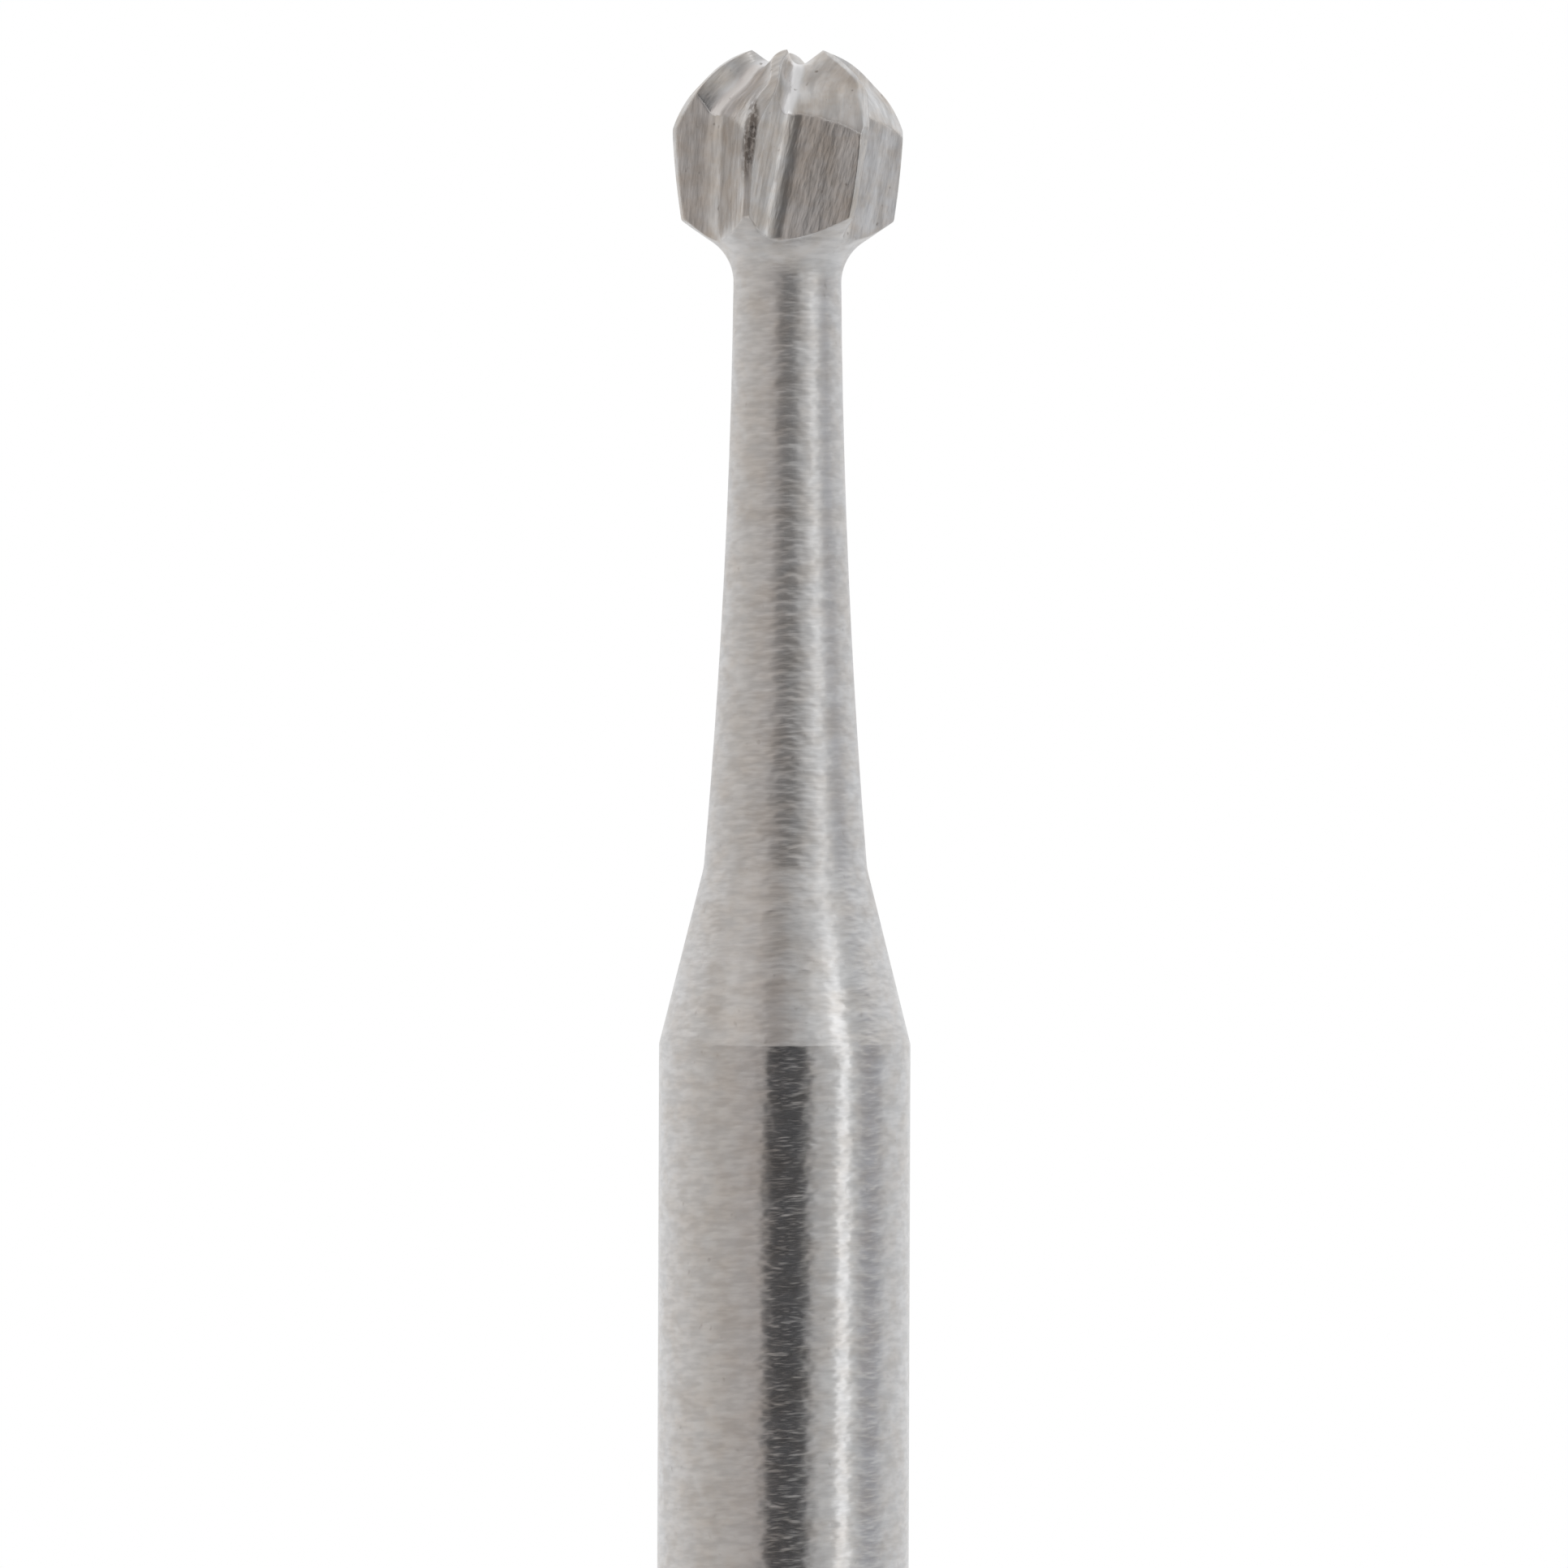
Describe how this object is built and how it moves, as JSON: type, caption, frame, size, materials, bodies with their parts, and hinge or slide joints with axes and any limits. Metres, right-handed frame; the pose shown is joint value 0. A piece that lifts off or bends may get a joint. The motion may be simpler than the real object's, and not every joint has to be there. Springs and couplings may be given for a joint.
{
  "type": "carbide burr",
  "caption": "Small rotary cutting burr with a fluted, domed head on a slender neck and a plain round shank for a friction-grip chuck.",
  "frame": {"origin": "middle of the flat end of the shank, on the burr's axis", "axes": "+Z along the axis from the shank to the head; -Y faces the middle of one flute at the height of the dome's centre"},
  "size_m": [0.0016, 0.0016, 0.019],
  "materials": {
    "ground_carbide": "bare ground metal with fine turned lines"
  },
  "bodies": {
    "root": {"burr": "ground_carbide"}
  },
  "joints": []
}
